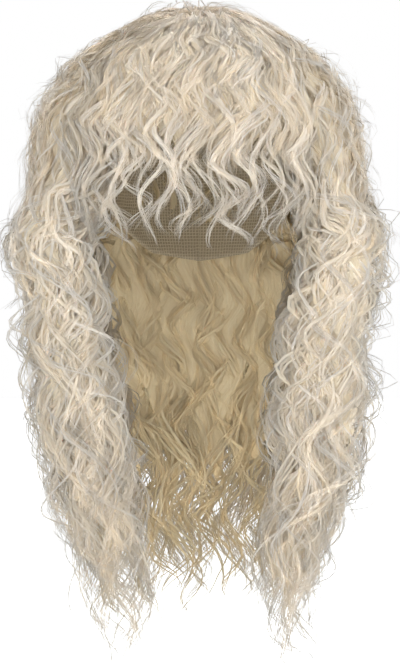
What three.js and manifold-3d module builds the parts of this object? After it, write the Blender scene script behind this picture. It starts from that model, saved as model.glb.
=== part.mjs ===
// A long curly wig: a hollow cap that sits on the head, and the hair that is sewn to it.
// Millimetres, +Z up. The origin is the inside of the cap's top, where the head bears.
// The fringe faces -Y. Azimuth 0 is the front, 90 the +X side, 180 the back.
import * as THREE from "three";
import { mergeVertices } from "three/addons/utils/BufferGeometryUtils.js";
import Module from "manifold-3d";

const wasm = await Module();
wasm.setup();

// Driving dimensions
const HEAD = { side: 76, front: 94, back: 98, height: 95 }; // half width, lengths, vertex to widest level
const CAP_WALL = 1.6;
const SEAT_GAP = 1.2; // between the cap and the hair sewn over it
const HAIR_EQUATOR = { left: 127, right: 122, front: 116, back: 131 }; // outer hair at the widest level
const HAIR_HEIGHT = 113; // top of the hair above the head's widest level
const DOME_POINT = 1.2; // above 1 the hair's dome is more pointed than an ellipse
const CROWN_POLAR = 26; // degrees from the top down to where the crown's hair ends
const PARTING = 0.5; // degrees left free on each side of a parting between two pieces
const FRINGE_EDGE = 42; // azimuth of the parting between fringe and sides
const FRINGE_REACH = -158; // the fringe's locks all end above this level
const BACK_EDGE = 128; // azimuth of the parting between sides and back
const EQUATOR_Z = -HEAD.height;

// The cap's rim: how far below the origin it lies at each azimuth, from brow to nape
const CAP_RIM = [
  { azimuth: 0, depth: 62 },
  { azimuth: 45, depth: 66 },
  { azimuth: 66, depth: 84 },
  { azimuth: 80, depth: 106 },
  { azimuth: 98, depth: 100 },
  { azimuth: 125, depth: 134 },
  { azimuth: 152, depth: 160 },
  { azimuth: 180, depth: 166 },
];
// How far the head draws in below its widest level, as a share of its radius, sides and back
const HEAD_TAPER = { depth: 72, side: 0.1, back: 0.2 };

// Sections of the long tress on each side: its outer and inner edge across, its front and back edge
const TRESS_LEFT = [
  { z: -150, outer: -146, inner: -78, front: -84, back: 48 },
  { z: -175, outer: -139, inner: -71, front: -88, back: 46 },
  { z: -219, outer: -129, inner: -69, front: -92, back: 40 },
  { z: -271, outer: -125, inner: -55, front: -98, back: 22 },
  { z: -315, outer: -120, inner: -46, front: -101, back: 0 },
  { z: -345, outer: -112, inner: -41, front: -101, back: -16 },
  { z: -374, outer: -105, inner: -37, front: -100, back: -28 },
  { z: -404, outer: -97, inner: -35, front: -99, back: -40 },
  { z: -425, outer: -88, inner: -42, front: -96, back: -52 },
];
const TRESS_RIGHT = [
  { z: -150, outer: 135, inner: 76, front: -84, back: 48 },
  { z: -175, outer: 135, inner: 70, front: -88, back: 46 },
  { z: -219, outer: 127, inner: 60, front: -92, back: 40 },
  { z: -271, outer: 128, inner: 52, front: -98, back: 22 },
  { z: -293, outer: 130, inner: 46, front: -100, back: 10 },
  { z: -315, outer: 125, inner: 50, front: -101, back: 0 },
  { z: -345, outer: 116, inner: 50, front: -101, back: -16 },
  { z: -374, outer: 104, inner: 46, front: -100, back: -28 },
  { z: -404, outer: 89, inner: 42, front: -99, back: -42 },
  { z: -425, outer: 86, inner: 54, front: -96, back: -54 },
];
// Sections of the curtain down the back: half its width, then its edges and its middle, outside and inside
const CURTAIN = [
  { z: -110, half: 103, edge: 81, outside: 133, halfInside: 67, edgeInside: 54, inside: 101 },
  { z: -165, half: 103, edge: 82, outside: 136, halfInside: 82, edgeInside: 62, inside: 101 },
  { z: -220, half: 100, edge: 80, outside: 134, halfInside: 88, edgeInside: 62, inside: 103 },
  { z: -300, half: 96, edge: 78, outside: 127, halfInside: 86, edgeInside: 64, inside: 99 },
  { z: -370, half: 88, edge: 80, outside: 120, halfInside: 78, edgeInside: 71, inside: 97 },
  { z: -425, half: 74, edge: 88, outside: 111, halfInside: 66, edgeInside: 80, inside: 95 },
];

const radians = THREE.MathUtils.degToRad;
const lerp = THREE.MathUtils.lerp;

// A column of a table at a place between its rows, eased between the two rows around it
function lookUp(table, key, at, column) {
  const rising = table[0][key] < table[table.length - 1][key];
  const rows = rising ? table : [...table].reverse();
  const next = rows.findIndex((row) => row[key] > at);
  if (next === 0) return rows[0][column];
  if (next < 0) return rows[rows.length - 1][column];
  const [low, high] = [rows[next - 1], rows[next]];
  const share = (at - low[key]) / (high[key] - low[key]);
  return lerp(low[column], high[column], share);
}

const steps = (count, from, to) =>
  Array.from({ length: count + 1 }, (_, i) => lerp(from, to, i / count));

// Radius of an oval with its own front, back, left and right half axes, in one direction
function ovalRadius(azimuth, { left, right, front, back }) {
  const across = Math.sin(radians(azimuth));
  const along = Math.cos(radians(azimuth));
  return 1 / Math.hypot(across / (across < 0 ? left : right), along / (along < 0 ? back : front));
}

const around = (azimuth, radius, z) =>
  new THREE.Vector3(Math.sin(radians(azimuth)) * radius, -Math.cos(radians(azimuth)) * radius, z);

// The head's surface grown by an offset: a dome down to the widest level, then drawn in towards the neck
function headPoint(azimuth, polar, drop, offset) {
  const oval = {
    left: HEAD.side + offset,
    right: HEAD.side + offset,
    front: HEAD.front + offset,
    back: HEAD.back + offset,
  };
  const rearward = Math.max(0, -Math.cos(radians(azimuth)));
  const taper = lerp(HEAD_TAPER.side, HEAD_TAPER.back, rearward) * (drop / HEAD_TAPER.depth) ** 2;
  const radius = ovalRadius(azimuth, oval) * Math.sin(radians(polar)) * (1 - taper);
  const z = EQUATOR_Z + (HEAD.height + offset) * Math.cos(radians(polar)) - drop;
  return around(azimuth, radius, z);
}

// The hair's outer surface over the dome
function hairPoint(azimuth, polar) {
  const radius = ovalRadius(azimuth, HAIR_EQUATOR) * Math.sin(radians(polar)) ** DOME_POINT;
  return around(azimuth, radius, EQUATOR_Z + HAIR_HEIGHT * Math.cos(radians(polar)));
}

// Gathers triangles and shares the vertices that coincide
class Skin {
  constructor() {
    this.places = [];
    this.index = [];
    this.known = new Map();
  }
  vertex(point) {
    const key = point.toArray().map((value) => Math.round(value * 1000)).join();
    if (!this.known.has(key)) {
      this.known.set(key, this.places.length / 3);
      this.places.push(point.x, point.y, point.z);
    }
    return this.known.get(key);
  }
  triangle(a, b, c) {
    const [i, j, k] = [a, b, c].map((point) => this.vertex(point));
    if (i !== j && j !== k && k !== i) this.index.push(i, j, k);
  }
  quad(a, b, c, d) {
    this.triangle(a, b, c);
    this.triangle(a, c, d);
  }
  geometry() {
    return new THREE.BufferGeometry()
      .setAttribute("position", new THREE.Float32BufferAttribute(this.places, 3))
      .setIndex(this.index);
  }
}

// A closed wall between two grids of points, rows from top to bottom and columns by rising azimuth
function wall(outside, inside, goesRound = false) {
  const skin = new Skin();
  const rows = outside.length;
  const columns = outside[0].length;
  const last = goesRound ? columns : columns - 1;
  for (let row = 0; row + 1 < rows; row++) {
    for (let column = 0; column < last; column++) {
      const next = (column + 1) % columns;
      const [a, b] = [outside[row], outside[row + 1]];
      skin.quad(a[column], b[column], b[next], a[next]);
      const [c, d] = [inside[row], inside[row + 1]];
      skin.quad(c[column], c[next], d[next], d[column]);
    }
    if (!goesRound) {
      const end = columns - 1;
      skin.quad(outside[row][0], inside[row][0], inside[row + 1][0], outside[row + 1][0]);
      skin.quad(outside[row][end], outside[row + 1][end], inside[row + 1][end], inside[row][end]);
    }
  }
  for (let column = 0; column < last; column++) {
    const next = (column + 1) % columns;
    const [top, topInside] = [outside[0], inside[0]];
    const [hem, hemInside] = [outside[rows - 1], inside[rows - 1]];
    skin.quad(top[column], top[next], topInside[next], topInside[column]);
    skin.quad(hem[column], hemInside[column], hemInside[next], hem[next]);
  }
  return skin.geometry();
}

// A lock of hair: a tapering bar along a smooth path, round outside and flat where it grows on its backing
const LOCK_SECTION = [-130, -42, 42, 130]; // degrees from the direction it faces
const LOCK_STEP = 21; // length of one stretch of it
const LOCK_ROOT = 0.6; // width at the root as a share of the greatest width
const LOCK_TIP = 0.16; // the same at the tip
function lock(path, width, facing) {
  const curve = new THREE.CatmullRomCurve3(path);
  const count = Math.round(curve.getLength() / LOCK_STEP);
  const sides = LOCK_SECTION.length;
  const rings = steps(count, 0, 1).map((share) => {
    const centre = curve.getPointAt(share);
    const along = curve.getTangentAt(share);
    const outward = new THREE.Vector3(centre.x * facing, centre.y * facing, 0).normalize();
    const sideways = along.clone().cross(outward).normalize();
    outward.crossVectors(sideways, along);
    const full = share < 0.5 ? lerp(LOCK_ROOT, 1, share * 2) : lerp(1, LOCK_TIP, (share * 2 - 1) ** 2);
    return LOCK_SECTION.map((turn) =>
      centre
        .clone()
        .addScaledVector(outward, width * full * Math.cos(radians(turn)))
        .addScaledVector(sideways, width * full * Math.sin(radians(turn))),
    );
  });
  const skin = new Skin();
  for (let i = 0; i < count; i++) {
    for (let side = 0; side < sides; side++) {
      const next = (side + 1) % sides;
      skin.quad(rings[i][side], rings[i][next], rings[i + 1][next], rings[i + 1][side]);
    }
  }
  skin.quad(rings[0][3], rings[0][2], rings[0][1], rings[0][0]);
  skin.quad(rings[count][0], rings[count][1], rings[count][2], rings[count][3]);
  return skin.geometry();
}

// A lock's path over a run of places: it swings from side to side in waves and bobs in and out
const WAVE_PITCH = 86;
const WAVE_BOB = 0.3; // movement in and out as a share of the swing
const LOCK_PROUD = 4.5; // how far a lock stands out of the hair's smooth outline
function curly(places, { swing, phase, width, facing }) {
  let run = 0;
  return places.map((place, i) => {
    const along = places[Math.min(i + 1, places.length - 1)].clone().sub(places[Math.max(i - 1, 0)]);
    const outward = new THREE.Vector3(place.x * facing, place.y * facing, 0).normalize();
    const sideways = along.normalize().cross(outward).normalize();
    if (i > 0) run += place.distanceTo(places[i - 1]);
    const turn = (run / WAVE_PITCH) * Math.PI * 2 + phase;
    const grow = Math.min(1, run / WAVE_PITCH);
    return place
      .clone()
      .addScaledVector(sideways, swing * grow * Math.sin(turn))
      .addScaledVector(outward, LOCK_PROUD - width + swing * WAVE_BOB * grow * Math.cos(turn));
  });
}

const solidOf = (geometry) =>
  new wasm.Manifold(
    new wasm.Mesh({
      numProp: 3,
      vertProperties: geometry.attributes.position.array,
      triVerts: new Uint32Array(geometry.index.array),
    }),
  );

// A wedge of space about the head's axis between two azimuths and two levels, well past the hair
const REACH = 320;
function wedge(from, to, low, high) {
  const shape = new THREE.Shape([
    new THREE.Vector2(0, 0),
    ...steps(4, from, to).map((azimuth) => {
      const { x, y } = around(azimuth, REACH, 0);
      return new THREE.Vector2(x, y);
    }),
  ]);
  const block = new THREE.ExtrudeGeometry(shape, { depth: high - low, bevelEnabled: false });
  block.translate(0, 0, low).deleteAttribute("normal").deleteAttribute("uv");
  return solidOf(mergeVertices(block));
}

// A backing and the locks that grow out of it, fused into one body, then trimmed along its partings
function fuse(backing, locks, trim) {
  const joined = locks.reduce((whole, each) => whole.add(solidOf(each)), solidOf(backing));
  const bodies = trim(joined).decompose();
  const mesh = bodies.reduce((a, b) => (a.volume() > b.volume() ? a : b)).getMesh();
  return new THREE.BufferGeometry()
    .setAttribute("position", new THREE.Float32BufferAttribute(mesh.vertProperties, 3))
    .setIndex(new THREE.BufferAttribute(mesh.triVerts, 1));
}

// Sinks one face of a wall towards the other, deepest in the partings between its broad waves
function ruffle(face, other, { waves, sway, runs, inset, depth, firstRow }) {
  return face.map((row, r) =>
    row.map((point, c) => {
      const down = r / (face.length - 1);
      const part = c / (row.length - 1);
      const turn = waves * part + sway * Math.sin(Math.PI * 2 * (down * runs + part));
      const parted = 0.5 + 0.5 * Math.cos(Math.PI * 2 * turn);
      const grown = THREE.MathUtils.clamp((r - firstRow + 1) / 4, 0, 1);
      const across = other[r][c].clone().sub(point);
      const sunk = Math.min((inset + depth * parted) * grown, across.length() / 3);
      return point.clone().addScaledVector(across.normalize(), sunk);
    }),
  );
}

// Cap: one thin stretched wall, open over the face, ears and neck
function capGeometry() {
  const columns = 26;
  const domeRows = 5;
  const skirtRows = 3;
  const grid = (offset) => {
    const rows = [];
    for (let row = 0; row <= domeRows + skirtRows; row++) {
      rows.push(
        steps(columns - 1, 0, 360 - 360 / columns).map((azimuth) => {
          const fromFront = azimuth > 180 ? 360 - azimuth : azimuth;
          const depth = lookUp(CAP_RIM, "azimuth", fromFront, "depth");
          const rimPolar = THREE.MathUtils.radToDeg(Math.acos(Math.max(0, 1 - depth / HEAD.height)));
          const polar = rimPolar * Math.min(1, row / domeRows);
          const drop = Math.max(0, depth - HEAD.height) * Math.max(0, (row - domeRows) / skirtRows);
          const shortRim = depth < HEAD.height ? rimPolar * (row / (domeRows + skirtRows)) : polar;
          return headPoint(azimuth, shortRim, drop, offset);
        }),
      );
    }
    return rows;
  };
  return wall(grid(CAP_WALL), grid(0), true);
}

// Crown hair: the round of short hair over the top, its locks turning out of one whorl
function crownGeometry() {
  const columns = 32;
  const rows = 4;
  const locks = 8;
  const edge = CROWN_POLAR - PARTING;
  const whorl = 0.22; // turns that the locks swirl between the top and the edge
  const depth = 5;
  const azimuths = steps(columns - 1, 0, 360 - 360 / columns);
  const polars = steps(rows, 0, edge);
  const outside = polars.map((polar) =>
    azimuths.map((azimuth) => {
      const turn = locks * (azimuth / 360 + (whorl * polar) / edge);
      const parted = 0.5 + 0.5 * Math.cos(Math.PI * 2 * turn);
      const point = hairPoint(azimuth, polar);
      const outward = point.clone().sub(headPoint(azimuth, polar, 0, 0)).normalize();
      return point.addScaledVector(outward, (-depth * parted * polar) / edge);
    }),
  );
  const inside = polars.map((polar) =>
    azimuths.map((azimuth) => headPoint(azimuth, polar, 0, CAP_WALL + SEAT_GAP)),
  );
  return wall(outside, inside, true);
}

// Fringe: hair combed forward from the crown, parting into locks over the brow
const FRINGE_LOCKS = [
  { azimuth: -36, from: 56, tip: -146, phase: 0.4, width: 9 },
  { azimuth: -26, from: 40, tip: -152, phase: 2.6, width: 10 },
  { azimuth: -16, from: 50, tip: -141, phase: 4.4, width: 10 },
  { azimuth: -6, from: 38, tip: -152, phase: 1.2, width: 10 },
  { azimuth: 4, from: 52, tip: -138, phase: 3.6, width: 9.5 },
  { azimuth: 14, from: 38, tip: -150, phase: 5.4, width: 10 },
  { azimuth: 25, from: 48, tip: -143, phase: 2.0, width: 10 },
  { azimuth: 36, from: 56, tip: -151, phase: 0.2, width: 9 },
];
function fringeGeometry() {
  const columns = 12;
  const hem = { z: -110, inside: 11 };
  const azimuths = steps(columns, PARTING - FRINGE_EDGE, FRINGE_EDGE - PARTING);
  const polars = steps(4, CROWN_POLAR + PARTING, 90);
  const inside = polars.map((polar) =>
    azimuths.map((azimuth) => headPoint(azimuth, polar, 0, CAP_WALL + SEAT_GAP)),
  );
  const smooth = polars.map((polar) => azimuths.map((azimuth) => hairPoint(azimuth, polar)));
  const hemRow = (offset) =>
    azimuths.map((azimuth) => around(azimuth, ovalRadius(azimuth, HAIR_EQUATOR) - offset, hem.z));
  inside.push(hemRow(hem.inside));
  smooth.push(hemRow(0));
  const flow = { waves: 4, sway: 0.2, runs: 1, inset: 4, depth: 3, firstRow: 0 };
  const outside = ruffle(smooth, inside, flow);
  const locks = FRINGE_LOCKS.map(({ azimuth, from, tip, phase, width }) => {
    const over = steps(4, from, 90).map((polar) => hairPoint(azimuth, polar));
    const down = steps(4, EQUATOR_Z - 11, tip).map((z) =>
      around(azimuth, ovalRadius(azimuth, HAIR_EQUATOR), z),
    );
    return lock(curly([...over, ...down], { swing: 6, phase, width, facing: 1 }), width, 1);
  });
  const zone = wedge(PARTING - FRINGE_EDGE, FRINGE_EDGE - PARTING, -REACH, REACH);
  return fuse(wall(outside, inside), locks, (whole) => whole.intersect(zone));
}

// One level of a tress as two rows of points, front to back: its outer half and its inner half
function tressLevel(table, z, columns) {
  const [outer, inner, front, back] = ["outer", "inner", "front", "back"].map((column) =>
    lookUp(table, "z", z, column),
  );
  const centre = new THREE.Vector3((outer + inner) / 2, (front + back) / 2, z);
  const spread = 82; // degrees from the outermost point to each end of the half oval
  const fullness = 0.8; // below 1 the oval is fuller than an ellipse
  const half = (reach) =>
    steps(columns, -spread, spread).map((turn) =>
      centre.clone().add(
        new THREE.Vector3(
          reach * Math.cos(radians(turn)) ** fullness,
          ((back - front) / 2) * Math.sin(radians(turn)),
          0,
        ),
      ),
    );
  return { outside: half((outer - inner) / 2), inside: half((inner - outer) / 2) };
}

// One level of the curtain, from its +X edge to its -X edge: its outer face and its inner face
function curtainLevel(z, columns) {
  const sized = (column) => lookUp(CURTAIN, "z", z, column);
  const arc = (half, edge, middle) =>
    steps(columns, 90, -90).map((turn) => {
      const bulge = (middle - edge) * Math.cos(radians(turn));
      return new THREE.Vector3(half * Math.sin(radians(turn)), edge + bulge, z);
    });
  return {
    outside: arc(sized("half"), sized("edge"), sized("outside")),
    inside: arc(sized("halfInside"), sized("edgeInside"), sized("inside")),
  };
}

// Hair that covers the head between two partings and turns below it into a hanging form
const HEM = { thins: 0.8, short: 4, long: 24 };
const FALL_LEVELS = [-118, -146, -178, -220, -268, -318, -362];
function hangingHair({ azimuths, gathers, hangs, locks, waves, trim }) {
  const columns = azimuths.length - 1;
  const level = (z) => {
    const share = THREE.MathUtils.smoothstep(-z, -gathers.from, -gathers.to);
    const { outside, inside } = hangs(z, columns);
    const drop = Math.min(EQUATOR_Z - z, HEAD_TAPER.depth);
    return {
      outside: azimuths.map((a, c) =>
        around(a, ovalRadius(a, HAIR_EQUATOR), z).lerp(outside[c], share),
      ),
      inside: azimuths.map((a, c) =>
        headPoint(a, 90, drop, CAP_WALL + SEAT_GAP).setZ(z).lerp(inside[c], share),
      ),
    };
  };
  const between = (row, along) => {
    const low = Math.min(columns - 1, Math.floor(along * columns));
    return row[low].clone().lerp(row[low + 1], along * columns - low);
  };
  // The hem thins to an edge that runs in short points
  const hem = ({ outside, inside }) => {
    const middle = outside.map((point, c) => point.clone().lerp(inside[c], 0.5));
    const drawn = (row) =>
      row.map((point, c) => {
        const place = point.clone().lerp(middle[c], HEM.thins);
        return place.setZ(place.z - (c % 2 ? HEM.long : HEM.short));
      });
    return { outside: drawn(outside), inside: drawn(inside) };
  };
  const polars = steps(4, CROWN_POLAR + PARTING, 90);
  const levels = [...FALL_LEVELS, gathers.end].map(level);
  levels.push(hem(levels[levels.length - 1]));
  const smooth = {
    outside: polars.map((p) => azimuths.map((a) => hairPoint(a, p))),
    inside: polars.map((p) => azimuths.map((a) => headPoint(a, p, 0, CAP_WALL + SEAT_GAP))),
  };
  smooth.outside.push(...levels.map((each) => each.outside));
  smooth.inside.push(...levels.map((each) => each.inside));
  const flow = { waves, sway: 0.25, runs: 2 };
  const outside = ruffle(smooth.outside, smooth.inside, { ...flow, inset: 4, depth: 4, firstRow: 0 });
  const inside = ruffle(smooth.inside, smooth.outside, { ...flow, inset: 0, depth: 7, firstRow: 8 });
  const tubes = locks.map(({ along, face, from, top, tip, phase, width }) => {
    const azimuth = lerp(azimuths[0], azimuths[columns], along);
    const over = from ? steps(3, from, 86).map((polar) => hairPoint(azimuth, polar)) : [];
    const count = Math.round((top - tip) / (WAVE_PITCH / 4));
    const down = steps(count, top, tip).map((z) => between(level(z)[face], along));
    const facing = face === "outside" ? 1 : -1;
    return lock(curly([...over, ...down], { swing: 9, phase, width, facing }), width, facing);
  });
  const flipped = azimuths[0] > azimuths[columns];
  const turned = (grid) => (flipped ? grid.map((row) => [...row].reverse()) : grid);
  return fuse(wall(turned(outside), turned(inside)), tubes, trim);
}

// Side hair: it covers the temple and ear and gathers into the long tress before the shoulder
const SIDE_LOCKS = [
  { face: "outside", along: 0.07, from: 46, top: -104, tip: -449, phase: 0.6, width: 12 },
  { face: "outside", along: 0.25, from: 38, top: -104, tip: -428, phase: 2.4, width: 13 },
  { face: "outside", along: 0.43, from: 50, top: -104, tip: -406, phase: 4.2, width: 13 },
  { face: "outside", along: 0.61, from: 40, top: -104, tip: -372, phase: 1.4, width: 13 },
  { face: "outside", along: 0.8, from: 48, top: -104, tip: -330, phase: 5.2, width: 13 },
  { face: "inside", along: 0.13, from: 0, top: -176, tip: -443, phase: 3.8, width: 12 },
  { face: "inside", along: 0.42, from: 0, top: -196, tip: -418, phase: 0.9, width: 12 },
];
function sideGeometry(table, side) {
  const fringeZone = wedge(-FRINGE_EDGE, FRINGE_EDGE, FRINGE_REACH, REACH);
  const backZone = wedge(BACK_EDGE, 360 - BACK_EDGE, -2 * REACH, REACH);
  return hangingHair({
    azimuths: steps(8, (FRINGE_EDGE + PARTING) * side, (BACK_EDGE - PARTING) * side),
    gathers: { from: -95, to: -160, end: -392 },
    hangs: (z, columns) => tressLevel(table, z, columns),
    locks: SIDE_LOCKS,
    waves: 3,
    trim: (whole) => whole.subtract(fringeZone).subtract(backZone),
  });
}

// Back hair: it covers the back of the head and falls in a curtain behind the shoulders
const BACK_LOCKS = [
  { face: "outside", along: 0.09, from: 46, top: -104, tip: -424, phase: 1.0, width: 12 },
  { face: "outside", along: 0.25, from: 38, top: -104, tip: -444, phase: 3.4, width: 13 },
  { face: "outside", along: 0.42, from: 48, top: -104, tip: -432, phase: 5.0, width: 13 },
  { face: "outside", along: 0.58, from: 40, top: -104, tip: -449, phase: 0.3, width: 13 },
  { face: "outside", along: 0.75, from: 46, top: -104, tip: -436, phase: 2.7, width: 13 },
  { face: "outside", along: 0.91, from: 40, top: -104, tip: -426, phase: 4.4, width: 12 },
];
function backGeometry() {
  const zone = wedge(BACK_EDGE + PARTING, 360 - BACK_EDGE - PARTING, -2 * REACH, REACH);
  return hangingHair({
    azimuths: steps(10, BACK_EDGE + PARTING, 360 - BACK_EDGE - PARTING),
    gathers: { from: -100, to: -165, end: -396 },
    hangs: curtainLevel,
    locks: BACK_LOCKS,
    waves: 4,
    trim: (whole) => whole.intersect(zone),
  });
}

const capNet = new THREE.MeshStandardMaterial({ color: 0xd9c7a2, roughness: 0.9, metalness: 0 });
const blondHair = new THREE.MeshStandardMaterial({ color: 0xd6c8ab, roughness: 0.55, metalness: 0 });

function piece(name, geometry, material) {
  const mesh = new THREE.Mesh(geometry, material);
  mesh.name = name;
  return mesh;
}

const wig = new THREE.Group();
wig.add(
  piece("cap", capGeometry(), capNet),
  piece("crown_hair", crownGeometry(), blondHair),
  piece("fringe", fringeGeometry(), blondHair),
  piece("side_hair_left", sideGeometry(TRESS_LEFT, -1), blondHair),
  piece("side_hair_right", sideGeometry(TRESS_RIGHT, 1), blondHair),
  piece("back_hair", backGeometry(), blondHair),
);

export default wig;
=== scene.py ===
import math

import bpy
import numpy as np
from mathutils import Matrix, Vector


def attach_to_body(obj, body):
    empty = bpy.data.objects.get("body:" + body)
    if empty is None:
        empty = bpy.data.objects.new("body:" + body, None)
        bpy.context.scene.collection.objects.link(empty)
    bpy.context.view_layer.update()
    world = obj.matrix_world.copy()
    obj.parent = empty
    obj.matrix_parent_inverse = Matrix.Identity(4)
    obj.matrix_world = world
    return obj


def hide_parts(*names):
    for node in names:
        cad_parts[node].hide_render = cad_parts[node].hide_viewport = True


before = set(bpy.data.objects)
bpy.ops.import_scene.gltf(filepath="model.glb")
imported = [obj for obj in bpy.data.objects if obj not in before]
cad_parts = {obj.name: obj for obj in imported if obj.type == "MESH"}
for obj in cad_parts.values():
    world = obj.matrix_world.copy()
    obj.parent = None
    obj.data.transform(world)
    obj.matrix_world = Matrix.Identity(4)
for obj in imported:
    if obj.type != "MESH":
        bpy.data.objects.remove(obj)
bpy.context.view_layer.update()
mm = 0.001  # the tables below are in millimetres, Blender is in metres

print("frame loaded:", ", ".join(sorted(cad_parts)))


# The head inside the cap and the outline of the hair round it
headForm = {
    "side": 76, "front": 94, "back": 98, "height": 95,  # half width, lengths, vertex to widest level
    "taperDepth": 72, "taperSide": 0.1, "taperBack": 0.2,  # how the head draws in towards the neck
    "wall": 1.6, "gap": 1.2,  # of the cap, and from the cap to the hair
}
hairForm = {
    "left": 127, "right": 122, "front": 116, "back": 131,  # at the widest level
    "height": 117, "point": 1.2,  # top above the widest level, and how pointed the dome is
    "domeArc": 155,  # length of hair from the top to the widest level
    "fringeEdge": 42, "backEdge": 128,  # partings, in degrees from the front
    "loosens": (10, 90),  # levels between which it comes to hang free
}


def ovalRadius(azimuth, left, right, front, back):
    across = np.sin(azimuth)
    along = np.cos(azimuth)
    sideways = across / np.where(across < 0, left, right)
    return 1 / np.hypot(sideways, along / np.where(along < 0, back, front))


def around(azimuth, radius, z):
    return np.stack([np.sin(azimuth) * radius, -np.cos(azimuth) * radius, z + 0 * radius], -1)


# Fall is the way that hair takes in millimetres: below 0 over the dome, above 0 down from the widest level
def headSurface(azimuth, fall, offset):
    polar = np.pi / 2 * (1 + np.minimum(fall, 0) / hairForm["domeArc"])
    drop = np.maximum(fall, 0)
    height = headForm["height"]
    side, front, back = [headForm[key] + offset for key in ("side", "front", "back")]
    oval = ovalRadius(azimuth, side, side, front, back)
    rearward = np.maximum(0, -np.cos(azimuth))
    taper = headForm["taperSide"] + (headForm["taperBack"] - headForm["taperSide"]) * rearward
    drawnIn = 1 - taper * np.minimum(1, drop / headForm["taperDepth"]) ** 2
    z = -height + (height + offset) * np.cos(polar) - drop
    return around(azimuth, oval * np.sin(polar) * drawnIn, z)


def hairSurface(azimuth, fall):
    polar = np.pi / 2 * (1 + np.minimum(fall, 0) / hairForm["domeArc"])
    oval = ovalRadius(azimuth, hairForm["left"], hairForm["right"], hairForm["front"], hairForm["back"])
    z = -headForm["height"] + hairForm["height"] * np.cos(polar) - np.maximum(fall, 0)
    return around(azimuth, oval * np.sin(polar) ** hairForm["point"], z)


def smoothStep(value, low, high):
    share = np.clip((value - low) / (high - low), 0, 1)
    return share * share * (3 - 2 * share)


def normalised(vectors):
    return vectors / np.maximum(np.linalg.norm(vectors, axis=-1, keepdims=True), 1e-9)


# Places from 0 to 1 that never bunch up, by steps of the golden share
def strewn(i):
    return i * 0.618034 % 1


strandForm = {
    "roundness": 0.35,  # how far the normals turn at the edges
    "apart": 7.3,  # from a strand's place in the streaks to the next one's
    "cellSides": 0.2, "cellEnds": 0.1,  # margins of its cell on the texture sheet
    "cellsTo": 0.75, "sheetsFrom": 0.78, "sheetsTo": 0.98,  # heights on the texture sheet
}


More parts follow.
